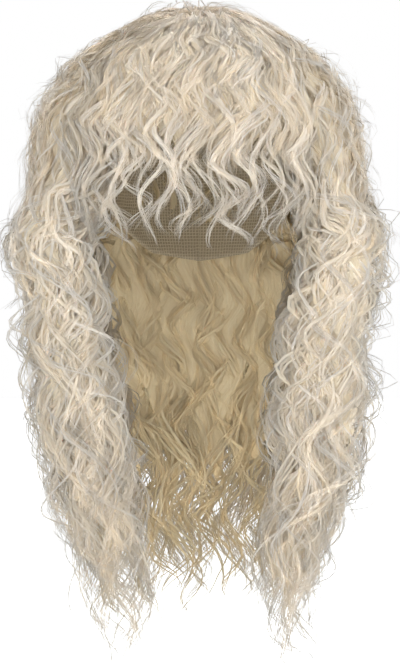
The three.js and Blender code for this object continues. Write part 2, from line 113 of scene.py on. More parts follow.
# Collects the strands and sheets of one piece and joins them into one mesh. A strand is a narrow ribbon
# with its normals turned out at the edges, so that it shades as a round fibre
class Hair:
    def __init__(self, name):
        self.name = name
        self.blocks = []
        self.strandCount = 0

    # points and facing are arrays of strands x stations x 3, width is in millimetres
    def addStrands(self, points, facing, width, tone, material):
        strands, stations = points.shape[:2]
        along = normalised(np.gradient(points, axis=1))
        side = normalised(np.cross(along, facing))
        out = np.cross(side, along)
        turned = strandForm["roundness"] * side
        half = side * (width / 2)[..., None]
        index = 2 * np.arange(strands * stations).reshape(strands, stations)
        near, far = index[:, :-1], index[:, 1:]
        run = np.broadcast_to(np.linspace(0, 1, stations), (strands, stations))
        number = self.strandCount + np.arange(strands)
        edge = strandForm["apart"] * number[:, None] + 0 * width
        self.strandCount += strands
        self.blocks.append({
            "points": np.stack([points - half, points + half], 2).reshape(-1, 3),
            "normals": np.stack([out - turned, out + turned], 2).reshape(-1, 3),
            "quads": np.stack([near, near + 1, far + 1, far], -1).reshape(-1, 4),
            "strandTone": np.repeat(np.broadcast_to(tone[:, None], run.shape), 2),
            "strandRun": np.repeat(run, 2),
            "strandAcross": np.stack([edge, edge + width.max()], 2).ravel(),
            "number": np.repeat(np.broadcast_to(number[:, None], run.shape), 2),
            "edge": np.tile([strandForm["cellSides"], 1 - strandForm["cellSides"]], strands * stations),
            "material": np.full(strands * (stations - 1), material, dtype=np.int32),
        })

    # points is an array of rows x columns x 3, from the roots down
    def addSheet(self, points, tone, across, material):
        rows, columns = points.shape[:2]
        index = np.arange(rows * columns).reshape(rows, columns)
        up, low = index[:-1], index[1:]
        run = np.broadcast_to(np.linspace(0, 1, rows)[:, None], (rows, columns))
        self.blocks.append({
            "points": points.reshape(-1, 3),
            "normals": np.zeros((rows * columns, 3)),  # none of its own: the mesh's smooth normals serve
            "quads": np.stack([up[:, :-1], low[:, :-1], low[:, 1:], up[:, 1:]], -1).reshape(-1, 4),
            "strandTone": tone.ravel(),
            "strandRun": run.ravel(),
            "strandAcross": across.ravel(),
            "number": np.full(rows * columns, -1),
            "edge": np.tile(np.linspace(0, 1, columns), rows),
            "material": np.tile(material[:-1], rows - 1).astype(np.int32),
        })

    # strands have a cell each on the lower part of the texture sheet, the sheets share its top
    def textureSheet(self, joined):
        grid = math.ceil(math.sqrt(self.strandCount))
        number, run = joined["number"], joined["strandRun"]
        top, low, margin = [strandForm[key] for key in ("sheetsFrom", "sheetsTo", "cellEnds")]
        across = np.where(number < 0, joined["edge"], (number % grid + joined["edge"]) / grid)
        inCell = (number // grid + margin + (1 - 2 * margin) * run) / grid * strandForm["cellsTo"]
        down = np.where(number < 0, top + (low - top) * run, inCell)
        return np.stack([across, down], -1)

    def build(self):
        first = 0
        for block in self.blocks:
            block["quads"] = block["quads"] + first
            first += len(block["points"])
        joined = {key: np.concatenate([block[key] for block in self.blocks]) for key in self.blocks[0]}
        quads = joined["quads"].astype(np.int32)
        mesh = bpy.data.meshes.new(self.name)
        mesh.vertices.add(first)
        mesh.vertices.foreach_set("co", (joined["points"] * mm).astype(np.float32).ravel())
        mesh.loops.add(quads.size)
        mesh.loops.foreach_set("vertex_index", quads.ravel())
        mesh.polygons.add(len(quads))
        mesh.polygons.foreach_set("loop_start", np.arange(0, quads.size, 4, dtype=np.int32))
        mesh.polygons.foreach_set("use_smooth", np.ones(len(quads), dtype=bool))
        mesh.update(calc_edges=True)
        for label in ("strandTone", "strandRun", "strandAcross"):
            attribute = mesh.attributes.new(label, "FLOAT", "POINT")
            attribute.data.foreach_set("value", joined[label].astype(np.float32))
        sheet = mesh.uv_layers.new(name="OFBake")
        sheet.uv.foreach_set("vector", self.textureSheet(joined)[quads.ravel()].astype(np.float32).ravel())
        mesh.normals_split_custom_set_from_vertices(normalised(joined["normals"]))
        for material in hairMaterials:
            mesh.materials.append(material)
        mesh.polygons.foreach_set("material_index", joined["material"])
        piece = bpy.data.objects.new(self.name, mesh)
        bpy.context.scene.collection.objects.link(piece)
        print(f"{self.name}: {self.strandCount} strands, {2 * len(quads)} triangles")
        return piece


# Waves grow longer down the hair, as its own weight draws them out
drawnOut = {"from": 40, "to": 330, "by": 0.5}


def paced(fall):
    levels = np.linspace(-160, 420, 117)  # every 5 mm, from above the roots to below the tips
    rate = 1 / (1 + drawnOut["by"] * smoothStep(levels, drawnOut["from"], drawnOut["to"]))
    covered = np.concatenate([[0], np.cumsum((rate[1:] + rate[:-1]) / 2 * np.diff(levels))])
    return levels[0] + np.interp(fall, levels, covered)


# A sine along the run for each strand, from a pitch and a phase for each
def wave(run, pitch, phase):
    return np.sin(2 * np.pi * run / pitch[:, None] + phase[:, None])


# Distance along a row of points
def distanceAlong(points):
    return np.concatenate([[0], np.cumsum(np.linalg.norm(np.diff(points, axis=0), axis=1))])


# Differences from wisp to wisp and from strand to strand
def uneven(rng, wispOf, wispSpread, strandSpread):
    ofWisps = rng.normal(0, wispSpread, wispOf[-1] + 1)
    return ofWisps[wispOf] + rng.normal(0, strandSpread, len(wispOf))


lockForm = {  # what all locks share
    "calmStep": 9,  # between stations where a lock hardly waves
    "strollPitch": (150, 260), "strollGrows": (30, 160),  # slow bends of the whole lock, and where they grow
    "sway": 0.9, "swayPitch": (110, 170),  # how far its waves run ahead and fall back
    "wavesGrow": (0, 35), "calmWaves": 0.15,  # growth from the root, and what is left in the calm part
    "bobTurns": (-20, 60),  # levels between which bobHigh, the wave in and out on the head, turns into bob
    "pitchSpread": (0.01, 0.003), "swingSpread": (0.25, 0.07), "toneSpread": (0.1, 0.07),  # wisps, strands
    "strandPhase": 0.12, "lockTone": 0.06,
    "lean": (0.35, 0.3),  # how far wisps and strands face the side that they lie on
    "strayWander": 2.2, "strayFrizz": 3, "strayWidth": 0.6,  # stray strands against the others
}


# Grows one lock along its way over the head. It waves as a loose ringlet, and it is made of wisps
# that keep together near the root and part towards the tip
def growLock(hair, rng, way, look):
    core, outward, start, place = way
    lengths = distanceAlong(core)
    length = lengths[-1]
    # where it hardly waves, stations are wider apart
    calm = np.clip(np.mean(look["waves"]) - start, 12, length / 2)
    run = np.linspace(calm, length, max(6, int((length - calm) / look["step"])))
    calmCount = max(3, int(calm / lockForm["calmStep"]))
    run = np.concatenate([np.linspace(0, calm, calmCount, endpoint=False), run])
    stations = len(run)
    share = run / length
    base = np.stack([np.interp(run, lengths, core[:, i]) for i in range(3)], -1)
    out = np.stack([np.interp(run, lengths, outward[:, i]) for i in range(3)], -1)
    along = normalised(np.gradient(base, axis=0))
    side = normalised(np.cross(along, out))
    out = np.cross(side, along)
    full = 2 * np.pi
    strollWidth = look["stroll"] * rng.uniform(0.4, 1)
    strolls = strollWidth * np.sin(full * run / rng.uniform(*lockForm["strollPitch"]) + rng.uniform(0, 7))
    base = base + (strolls * smoothStep(run, *lockForm["strollGrows"]))[:, None] * side
    wisps = look["wisps"]
    wispOf = np.repeat(np.arange(wisps), look["strands"])
    count = len(wispOf)
    stray = rng.random(count) < look["strayShare"]

    # the lock's wave, nearly in step with its neighbours', with some of each wisp's and strand's own
    lockPitch = rng.uniform(*look["pitch"])
    lockSwing = rng.uniform(*look["swing"])
    lockPhase = 1.6 * math.sin(place * 5 + 1) + 0.9 * math.sin(place * 11) + rng.normal(0, look["astray"])
    pitch = lockPitch * (1 + uneven(rng, wispOf, *lockForm["pitchSpread"]))
    wispSpread, strandSpread = lockForm["swingSpread"]
    swing = lockSwing * np.clip(1 + rng.normal(0, wispSpread, wisps), 0.4, 1.7)[wispOf]
    swing = swing * (1 + rng.normal(0, strandSpread, count))
    swing = swing * np.where(stray, rng.uniform(1, 1.8, count), 1)
    phase = lockPhase + uneven(rng, wispOf, look["loose"], lockForm["strandPhase"])
    sway = lockForm["sway"] * np.sin(full * run / rng.uniform(*lockForm["swayPitch"]) + rng.uniform(0, full))
    turn = full * paced(run + start) / pitch[:, None] + phase[:, None] + sway
    calmWaves = lockForm["calmWaves"]
    wavy = calmWaves + (1 - calmWaves) * smoothStep(run + start, *look["waves"])
    grown = smoothStep(run, *lockForm["wavesGrow"]) * wavy * (1 + look["tipSwing"] * share)
    sideMove = swing[:, None] * grown * np.sin(turn)
    hanging = smoothStep(run + start, *lockForm["bobTurns"])
    bob = look["bobHigh"] + (look["bob"] - look["bobHigh"]) * hanging
    outMove = swing[:, None] * grown * bob * rng.choice([-1, 1]) * np.cos(turn)  # turns either way

    # place of the wisp in the lock, which is thickest at its middle, and of the strand in the wisp
    thick = look["radius"] * (0.3 + 0.7 * np.sin(np.pi * np.minimum(1, 0.1 + share * 0.8)) ** 0.8)
    thick = thick * (1 - look["gather"] * smoothStep(share, 0.7, 1))
    angle = rng.uniform(0, full, wisps)[wispOf]
    reach = np.sqrt(rng.uniform(0.05, 1, wisps))[wispOf]
    twist = angle[:, None] + look["twist"] * full * share
    ownAngle = rng.uniform(0, full, count)
    ownReach = np.sqrt(rng.uniform(0, 1, count)) * look["wispRadius"]
    ownThick = ownReach[:, None] * (1 - 0.6 * smoothStep(share, 0.6, 1)) * smoothStep(run, -10, 40)
    sideMove = sideMove + reach[:, None] * thick * np.cos(twist) + ownThick * np.cos(ownAngle)[:, None]
    outMove = outMove + reach[:, None] * thick * np.sin(twist) + ownThick * np.sin(ownAngle)[:, None]

    # slow wander that parts the wisps, and the strands' fine frizz
    free = smoothStep(run, 0, 40)
    wanderMore, frizzMore = [np.where(stray, lockForm[key], 1) for key in ("strayWander", "strayFrizz")]
    for moved in (sideMove, outMove):
        parted = look["wander"] * rng.uniform(0.3, 1.3, wisps)[wispOf] * wanderMore
        slowPitch = look["wanderPitch"] * rng.uniform(0.7, 1.4, wisps)
        bend = wave(run, slowPitch[wispOf], rng.uniform(0, full, wisps)[wispOf])
        moved += parted[:, None] * bend * (0.3 + 0.7 * share) * free
        frizz = look["frizz"] * rng.uniform(0.2, 1.2, count) * frizzMore
        bend = wave(run, look["frizzPitch"] * rng.uniform(0.7, 1.5, count), rng.uniform(0, full, count))
        moved += frizz[:, None] * bend * free

    points = base + sideMove[..., None] * side + outMove[..., None] * out
    wispLean, strandLean = lockForm["lean"]
    lean = wispLean * np.cos(twist) + strandLean * np.cos(ownAngle)[:, None]
    facing = out + lean[..., None] * side
    # strands end at different lengths
    ends = rng.uniform(look["endsFrom"], 1, wisps)[wispOf] * rng.uniform(0.97, 1, count)
    station = ends[:, None] * np.arange(stations)
    low = np.minimum(station.astype(int), stations - 2)
    rows = np.arange(count)[:, None]
    between = (station - low)[..., None]
    points = points[rows, low] * (1 - between) + points[rows, low + 1] * between
    facing = facing[rows, low]
    width = rng.uniform(*look["width"], count) * np.where(stray, lockForm["strayWidth"], 1)
    width = width[:, None] * (0.15 + 0.85 * (1 - np.linspace(0, 1, stations) ** 3) ** 0.7)
    tone = rng.normal(look["tone"], lockForm["lockTone"]) + uneven(rng, wispOf, *lockForm["toneSpread"])
    hair.addStrands(points, facing, width, np.clip(tone, 0, 1), look["fibre"])


# The way of one lock: it leaves the cap at fall start, lies at its depth in the hair, and ends at fall end.
# Outward points away from the middle of the hair there
def lockWay(form, look, across, deep, start, end, drift, lift=0, sunk=0):
    fall = np.linspace(start, end, max(8, int((end - start) / 6)))
    share = (fall - start) / (end - start)
    outer, inner, middle = form(across + drift * share, fall)
    rise = smoothStep(fall - start, 0, look["rise"])[:, None]
    rootDeep = 0.97  # roots sit just outside the cap
    lies = deep + sunk * smoothStep(fall, *hairForm["loosens"])[:, None]
    core = outer + (inner - outer) * (rootDeep + (lies - rootDeep) * rise)
    outward = normalised(core - middle)
    raised = np.sin(np.pi * share) if look["arch"] else smoothStep(share, 0.4, 1)
    core = core + outward * (lift * raised[:, None] - look["inset"] * rise)
    return core, outward, start, across + 0.3 * deep


# Columns of points round a free edge, from one face's last column to the other's
def roundEdge(first, beforeFirst, second, beforeSecond, count):
    outward = normalised(first - beforeFirst + second - beforeSecond)
    gap = second - first
    bulge = outward * np.linalg.norm(gap, axis=-1, keepdims=True) * 0.1
    steps = np.linspace(0, 1, count + 2)[1:-1]
    return np.stack([first + gap * t + bulge * math.sin(np.pi * t) for t in steps], 1)


sheetForm = {  # what all undercoats share
    "edgeColumns": 6,  # round each free edge of a bag
    "drawnOver": 110,  # length over which its edges draw in
    "deepest": 0.42,  # as a share of the hair's thickness
    "ridges": (15, 8.3),  # pitches of its relief
}


# Soft dense hair under the locks: a wavy sheet some way below the outline, closed to a bag where the hair
# hangs free, and drawn to ragged points at its end
def layUndercoat(hair, rng, form, look):
    columns, rows, over = look["columns"], look["rows"], sheetForm["drawnOver"]
    across = np.linspace(0, 1, columns)
    jags = np.sin(across * 41 + rng.uniform(0, 7)) + np.sin(across * 23 + rng.uniform(0, 7))
    share = np.linspace(0, 1, rows)[:, None]
    fall = look["start"] + share * (look["end"] + look["ragged"] * jags - look["start"])
    ends = 0.25 * smoothStep(share, 0.7, 1)
    front, rear = [ends + look["drawIn"] * smoothStep(fall, top, top + over) for top in look["drawFrom"]]
    outer, inner, _ = form((front + (1 - front - rear) * across).ravel(), fall.ravel())
    outer, inner = outer.reshape(rows, columns, 3), inner.reshape(rows, columns, 3)
    out = normalised(outer - inner)
    drawn = smoothStep(fall, *hairForm["loosens"]) * np.sin(np.pi * across) ** 2
    below = look["below"] + (look["belowHung"] - look["below"]) * drawn
    thick = np.linalg.norm(outer - inner, axis=-1)
    depths = [np.minimum(sheetForm["deepest"], level / thick) for level in (below, look["below"])]
    depth, depthInside = [(d + (0.5 - d) * smoothStep(share, 0.8, 1))[..., None] for d in depths]
    sheet = outer + (inner - outer) * depth
    fibre = np.full(columns, look["fibre"])
    if look["bothFaces"]:
        edge = sheetForm["edgeColumns"]
        back = (inner + (outer - inner) * depthInside)[:, ::-1]
        turnBack = roundEdge(sheet[:, -1], sheet[:, -3], back[:, 0], back[:, 2], edge)
        turnFront = roundEdge(back[:, -1], back[:, -3], sheet[:, 0], sheet[:, 2], edge)
        sheet = np.concatenate([sheet, turnBack, back, turnFront, sheet[:, :1]], 1)
        faces = [columns + edge, columns, edge + 1]
        fibre = np.repeat([look["fibre"], look["inside"], look["fibre"]], faces)
        down = np.repeat(fall[:, -1:], edge, 1), fall[:, ::-1], np.repeat(fall[:, :1], edge + 1, 1)
        fall = np.concatenate([fall, *down], 1)
        out = normalised(np.cross(np.gradient(sheet, axis=1), np.gradient(sheet, axis=0)))
    girth = distanceAlong(sheet[rows // 2])
    waves = np.sin(2 * np.pi * paced(fall) / look["pitch"] + 1.5 * np.sin(girth / 31) + girth / 40)
    streak = girth + look["swing"] * waves
    broad, fine = sheetForm["ridges"]
    relief = np.sin(2 * np.pi * streak / broad) + 0.6 * np.sin(2 * np.pi * streak / fine + 2)
    lift = look["relief"] * relief * smoothStep(share, 0, 0.1) * (1 - smoothStep(share, 0.85, 1))
    # the sheet's tone rises and falls with its relief, darker in the troughs: painted shade in the hollows
    hair.addSheet(sheet + out * lift[..., None], look["tone"] + 0.04 * relief, streak, fibre)


# Adds a node to a tree: its settings first, then values for some of its inputs and links into others
def addNode(tree, kind, settings=None, values=None, linked=None):
    node = tree.nodes.new(kind)
    for name, setting in (settings or {}).items():
        setattr(node, name, setting)
    for socket, value in (values or {}).items():
        node.inputs[socket].default_value = value
    for socket, source in (linked or {}).items():
        tree.links.new(source, node.inputs[socket])
    return node


# Adds a colour mix and gives back its output
def mixColour(tree, factor, first, second):
    linked = {0: factor, 6: first, 7: second}  # 6 and 7 are the colour sockets A and B
    return addNode(tree, "ShaderNodeMix", {"data_type": "RGBA"}, linked=linked).outputs[2]


# Adds a map from one range to another and gives back its output
def mapRange(tree, source, values, linked=None):
    linked = {"Value": source, **(linked or {})}
    return addNode(tree, "ShaderNodeMapRange", values=values, linked=linked).outputs["Result"]


streakLook = {
    "runs": 9, "scale": 0.4, "detail": 5, "broken": 0.7,  # of the noise that makes the streaks
    "dull": 0.52, "shiny": 0.36,  # roughness of the darkest and the palest hair
}


# Tone from strand to strand, fine streaks along them, and roots of another colour
def toneGroup():
    group = bpy.data.node_groups.new("fibreTone", "ShaderNodeTree")
    sockets = {
        "INPUT": {
            "Shade": "Color", "Pale": "Color", "Root": "Color", "Root Reach": "Float", "Streaks": "Float",
        },
        "OUTPUT": {"Color": "Color", "Roughness": "Float", "Height": "Float"},
    }
    for direction, kinds in sockets.items():
        for label, kind in kinds.items():
            group.interface.new_socket(label, in_out=direction, socket_type="NodeSocket" + kind)
    given = addNode(group, "NodeGroupInput").outputs
    made = addNode(group, "NodeGroupOutput").inputs
    tone, run, across = [
        addNode(group, "ShaderNodeAttribute", {"attribute_name": label}).outputs["Fac"]
        for label in ("strandTone", "strandRun", "strandAcross")
    ]
    slow = addNode(group, "ShaderNodeMath", {"operation": "MULTIPLY"}, {1: streakLook["runs"]}, {0: run})
    place = addNode(group, "ShaderNodeCombineXYZ", linked={"X": across, "Y": slow.outputs[0]})
    noiseValues = {
        "Scale": streakLook["scale"], "Detail": streakLook["detail"], "Roughness": streakLook["broken"],
    }
    noise = addNode(group, "ShaderNodeTexNoise", None, noiseValues, {"Vector": place.outputs["Vector"]})
    streak = noise.outputs["Fac"]
    level = addNode(group, "ShaderNodeMath", {"operation": "SUBTRACT"}, {1: 0.5}, {0: streak})
    shiftLinks = {0: level.outputs[0], 1: given["Streaks"], 2: tone}
    clamped = {"operation": "MULTIPLY_ADD", "use_clamp": True}
    shifted = addNode(group, "ShaderNodeMath", clamped, None, shiftLinks).outputs[0]
    body = mixColour(group, shifted, given["Shade"], given["Pale"])
    falling = {"From Min": 0, "To Min": 1, "To Max": 0}
    rootMask = mapRange(group, run, falling, {"From Max": given["Root Reach"]})
    rough = mapRange(group, shifted, {"To Min": streakLook["dull"], "To Max": streakLook["shiny"]})
    group.links.new(mixColour(group, rootMask, body, given["Root"]), made["Color"])
    group.links.new(rough, made["Roughness"])
    group.links.new(streak, made["Height"])
    return group


def hairMaterial(name, group, look):
    material = bpy.data.materials.new(name)
    material.use_nodes = True
    tree = material.node_tree
    shader = tree.nodes["Principled BSDF"]
    shader.inputs["Specular IOR Level"].default_value = look["gloss"]
    shader.subsurface_method = "BURLEY"
    shader.inputs["Subsurface Weight"].default_value = look["glow"]
    shader.inputs["Subsurface Radius"].default_value = look["glowTint"]
    shader.inputs["Subsurface Scale"].default_value = look["glowReach"] * mm
    values = {label: (*look[label.lower()], 1) for label in ("Shade", "Pale", "Root")}
    values.update({"Root Reach": look["rootReach"], "Streaks": look["streaks"]})
    fibre = addNode(tree, "ShaderNodeGroup", {"node_tree": group}, values).outputs
    ridges = {"Distance": look["ridges"] * mm}
    bump = addNode(tree, "ShaderNodeBump", None, ridges, {"Height": fibre["Height"]})
    tree.links.new(fibre["Color"], shader.inputs["Base Color"])
    tree.links.new(fibre["Roughness"], shader.inputs["Roughness"])
    tree.links.new(bump.outputs["Normal"], shader.inputs["Normal"])
    return material


blondLook = {
    "shade": (0.77, 0.66, 0.48), "pale": (0.84, 0.80, 0.74), "root": (0.74, 0.64, 0.48),
    "rootReach": 0.12, "gloss": 0.25, "streaks": 0.8, "ridges": 0.2,
    "glow": 0.85, "glowReach": 5, "glowTint": (1, 0.9, 0.8),
}
crownLook = {
    **blondLook, "shade": (0.76, 0.66, 0.50), "pale": (0.84, 0.80, 0.75), "root": (0.50, 0.41, 0.31),
    "rootReach": 0.35,
}
# the hair under the locks, darker and yellower than the strands above it: painted shade
shadedUnderLook = {
    "shade": (0.70, 0.59, 0.40), "pale": (0.88, 0.80, 0.66), "root": (0.74, 0.64, 0.47),
    "rootReach": 0.12, "gloss": 0.2, "streaks": 2.2, "ridges": 0.8,
    "glow": 0.85, "glowReach": 5, "glowTint": (1, 0.9, 0.8),
}
shadedInnerLook = {  # hair that only faces the neck, yellower: painted shade deep inside the hair
    **shadedUnderLook, "shade": (0.76, 0.61, 0.36), "pale": (0.89, 0.78, 0.55), "root": (0.78, 0.64, 0.40),
}
whorlLook = {  # under the crown, in the same painted shade, dark round the whorl
    **shadedUnderLook, "root": (0.46, 0.37, 0.27), "rootReach": 0.4,
}
hairLooks = {
    "blondHair": blondLook, "crownFibre": crownLook, "underShadedHair": shadedUnderLook, "innerShadedHair": shadedInnerLook,
    "whorlHair": whorlLook,
}
fibreTone = toneGroup()
hairMaterials = [hairMaterial(name, fibreTone, look) for name, look in hairLooks.items()]
# their slots on each piece
blondHair, crownFibre, underShadedHair, innerShadedHair, whorlHair = range(len(hairMaterials))
print("hair materials made")


def attach(piece, node):
    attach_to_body(piece, "root")
    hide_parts(node)


curls = {  # the usual lock
    "fibre": blondHair, "wisps": 5, "strands": 3, "radius": 3.8, "wispRadius": 1.1, "twist": 0.15,
    "pitch": (50, 55), "swing": (5, 8.5), "rise": 30, "waves": (-135, -35), "tipSwing": 0.6,
    "wander": 1.2, "wanderPitch": 90, "frizz": 0.3, "frizzPitch": 17, "strayShare": 0.08,
    "endsFrom": 0.94, "tone": 0.5, "arch": False,
}


# Each hair piece has one dictionary. Its main locks say what differs from the usual one, and its other
# layers what differs from the main one
def layerLook(piece, layer):
    return {**curls, **piece["main"], **piece[layer]}


# Side hair: over the temple and ear, then down in the long tress
sideHair = {
    "arc": 164,  # degrees of the tress's oval section that each of its faces takes
    "left": [  # level, outer edge, inner edge, front, back
        (-95, -127, -78, -84, 50), (-150, -143, -78, -84, 48), (-175, -133, -71, -88, 46),
        (-219, -124, -69, -92, 40), (-271, -121, -55, -98, 22), (-315, -115, -46, -101, 0),
        (-345, -107, -41, -101, -16), (-374, -98, -37, -100, -28), (-404, -88, -35, -99, -40),
        (-450, -80, -42, -92, -60),
    ],
    "right": [
        (-95, 122, 76, -84, 50), (-150, 134, 76, -84, 48), (-175, 131, 70, -88, 46),
        (-219, 120, 60, -92, 40), (-271, 122, 52, -98, 22), (-293, 122, 46, -100, 10),
        (-315, 116, 50, -101, 0), (-345, 103, 50, -101, -16), (-374, 92, 44, -100, -28),
        (-404, 80, 41, -99, -42), (-428, 82, 52, -97, -52), (-450, 84, 66, -92, -62),
    ],
    "leavesHead": (0, 65),  # levels between which it turns from the head into the tress
    "main": {
        "locks": 50, "width": (0.45, 0.95), "step": 5.9, "inset": 3, "gather": 0.7, "stroll": 7,
        "bobHigh": 0.5, "bob": 0.2, "loose": 0.22, "astray": 0.9, "drift": 0.05,
        "rootHigh": -128, "rootLow": -25, "tipBack": -360, "tipFront": -470, "skin": (0.84, 1),
        "spread": 0.22, "sunk": 0.12,  # thins the outer side and moves it in, so that light shows through
        "layered": 90,  # how much shorter the shortest locks are
    },
    "wisps": {  # single wisps on the outside, paler: painted highlight
        "locks": 54, "wisps": 1, "strands": 4, "radius": 0.5, "wispRadius": 1, "inset": 1.5,
        "swing": (7, 11.5), "strayShare": 0.12, "tone": 0.8, "skin": (0.92, 1), "spread": -0.25, "sunk": 0,
    },
    "filling": {  # broad strands close over the undercoat, a little darker: painted shade
        "locks": 42, "wisps": 5, "strands": 1, "width": (1.8, 3), "step": 7, "radius": 3, "inset": 5,
        "strayShare": 0, "tone": 0.45, "tipFront": -420,
    },
    "flicks": {  # short ends that stand off
        "locks": 106, "wisps": 1, "strands": 5, "width": (0.4, 0.75), "step": 4.8, "radius": 0.5,
        "inset": 2, "swing": (6, 10), "strayShare": 0.2, "tone": 0.65, "length": (55, 120), "lift": (4, 12),
        "rootHigh": -110, "rootLow": 180, "place": (0.2, 0.95), "deep": 0.03,
    },
    "undercoat": {
        "fibre": underShadedHair, "inside": underShadedHair, "columns": 64, "rows": 44, "bothFaces": True,
        "start": -115, "end": 250, "ragged": 12, "below": 5.5, "belowHung": 14,
        "drawIn": 0.13, "drawFrom": (-70, 0), "pitch": 52, "swing": 8, "relief": 1.6, "tone": 0.5,
    },
}


def tressForm(levels, side):
    table = np.array(levels[::-1], float)

    def form(across, fall):
        edges = np.radians([hairForm["fringeEdge"], hairForm["backEdge"]]) * side
        azimuth = edges[0] + (edges[1] - edges[0]) * across
        outer = hairSurface(azimuth, fall)
        inner = headSurface(azimuth, fall, headForm["wall"] + headForm["gap"])
        z = -headForm["height"] - np.maximum(fall, 0)
        outX, inX, front, back = [np.interp(z, table[:, 0], table[:, i]) for i in range(1, 5)]
        turn = np.radians(sideHair["arc"] * (across - 0.5))
        y = (front + back) / 2 + (back - front) / 2 * np.sin(turn)
        bulge = (outX - inX) / 2 * np.maximum(0, np.cos(turn)) ** 0.8
        hangs = smoothStep(fall, *sideHair["leavesHead"])[:, None]
        outHang = np.stack([(outX + inX) / 2 + bulge, y, z], -1)
        inHang = np.stack([(outX + inX) / 2 - bulge, y, z], -1)
        middle = 2 * inner - outer
        midHang = np.stack([(outX + inX) / 2, (front + back) / 2, z], -1)
        ways = (outer, outHang), (inner, inHang), (middle, midHang)
        return [onHead + (hanging - onHead) * hangs for onHead, hanging in ways]

    return form


def makeSideHair(name, levels, side, seed):
    rng = np.random.default_rng(seed)
    hair = Hair(name)
    form = tressForm(levels, side)
    layUndercoat(hair, rng, form, sideHair["undercoat"])
    for layer in ("main", "wisps", "filling"):
        look = layerLook(sideHair, layer)
        for i in range(look["locks"]):
            # strewn round the section of the tress, close to its outline
            angle = 2 * np.pi * strewn(i)
            angle += look["spread"] * math.sin(2 * angle)
            outside = math.cos(angle)
            reach = math.sqrt(rng.uniform(*look["skin"]))
            if layer == "filling" and outside > 0.75:
                continue  # none on the outer side, which stays loose
            turn = math.asin(reach * math.sin(angle))
            across = float(np.clip(turn / math.radians(sideHair["arc"]) + 0.5, 0.02, 0.98))
            deep = float(np.clip(0.5 - 0.5 * reach * outside / math.cos(turn), 0.03, 0.97))
            sunk = look["sunk"] * max(0, outside)
            rootShare = deep ** 0.8 * rng.uniform(0.6, 1)
            start = look["rootHigh"] + (look["rootLow"] - look["rootHigh"]) * rootShare
            # the front of the tress is the longest
            reachDown = look["tipFront"] + (look["tipBack"] - look["tipFront"]) * across ** 2.5
            end = -headForm["height"] - reachDown - look["layered"] * rng.random() ** 1.5
            way = lockWay(form, look, across, deep, start, end, rng.normal(0, look["drift"]), sunk=sunk)
            growLock(hair, rng, way, look)
    look = layerLook(sideHair, "flicks")
    for i in range(look["locks"]):
        start = look["rootHigh"] + (look["rootLow"] - look["rootHigh"]) * strewn(i) ** 1.5
        end = start + rng.uniform(*look["length"])
        across = rng.uniform(*look["place"])
        way = lockWay(form, look, across, look["deep"], start, end, 0, rng.uniform(*look["lift"]))
        growLock(hair, rng, way, look)
    return hair.build()


attach(makeSideHair("side_curls_left", sideHair["left"], -1, 11), "side_hair_left")
attach(makeSideHair("side_curls_right", sideHair["right"], 1, 12), "side_hair_right")


# Back hair: over the back of the head, then a curtain behind the shoulders
backHair = {
    "curtain": [  # level, half width, edge, middle, then the same three of its inner face
        (-95, 103, 81, 131, 67, 54, 101), (-165, 103, 82, 136, 82, 62, 101),
        (-220, 100, 80, 134, 88, 62, 103), (-300, 96, 78, 127, 86, 64, 99),
        (-370, 88, 80, 120, 78, 71, 97), (-450, 68, 90, 108, 60, 84, 96),
    ],
    "leavesHead": (5, 70),  # levels between which it turns from the head into the curtain
    "edges": 0.02,  # share of its width left free on either side
    "main": {
        "locks": 74, "width": (0.5, 1.05), "step": 6.2, "inset": 3.4, "gather": 0.5, "stroll": 8,
        "bobHigh": 0.5, "bob": 0.4, "loose": 0.25, "astray": 0.6, "drift": 0.03,
        "rootHigh": -128, "rootLow": 55, "tipHigh": -405, "tipLow": -458,
        "deepOut": (0.01, 0.12), "deepIn": (0.9, 0.99),  # three locks in five lie on the outer face
    },
    "filling": {  # broad strands close over the undercoat, a little darker: painted shade
        "locks": 50, "wisps": 5, "strands": 1, "width": (1.8, 3), "step": 7, "radius": 3, "inset": 5,
        "strayShare": 0, "tone": 0.45, "tipHigh": -370, "tipLow": -440,
    },
    "undercoat": {
        "fibre": underShadedHair, "inside": innerShadedHair, "columns": 84, "rows": 52, "bothFaces": True,
        "start": -115, "end": 225, "ragged": 14, "below": 5.5, "belowHung": 5.5,
        "drawIn": 0.05, "drawFrom": (0, 0), "pitch": 52, "swing": 8, "relief": 1.6, "tone": 0.5,
    },
}


def curtainForm(across, fall):
    table = np.array(backHair["curtain"][::-1], float)
    edges = np.radians([hairForm["backEdge"], 360 - hairForm["backEdge"]])
    azimuth = edges[0] + (edges[1] - edges[0]) * across
    outer = hairSurface(azimuth, fall)
    inner = headSurface(azimuth, fall, headForm["wall"] + headForm["gap"])
    z = -headForm["height"] - np.maximum(fall, 0)
    columns = [np.interp(z, table[:, 0], column) for column in table[:, 1:].T]
    half, edge, middle, halfIn, edgeIn, middleIn = columns
    turn = np.radians(90 - 180 * across)
    outHang = np.stack([half * np.sin(turn), edge + (middle - edge) * np.cos(turn), z], -1)
    inHang = np.stack([halfIn * np.sin(turn), edgeIn + (middleIn - edgeIn) * np.cos(turn), z], -1)
    hangs = smoothStep(fall, *backHair["leavesHead"])[:, None]
    ways = (outer, outHang), (inner, inHang), (2 * inner - outer, (outHang + inHang) / 2)
    return [onHead + (hanging - onHead) * hangs for onHead, hanging in ways]


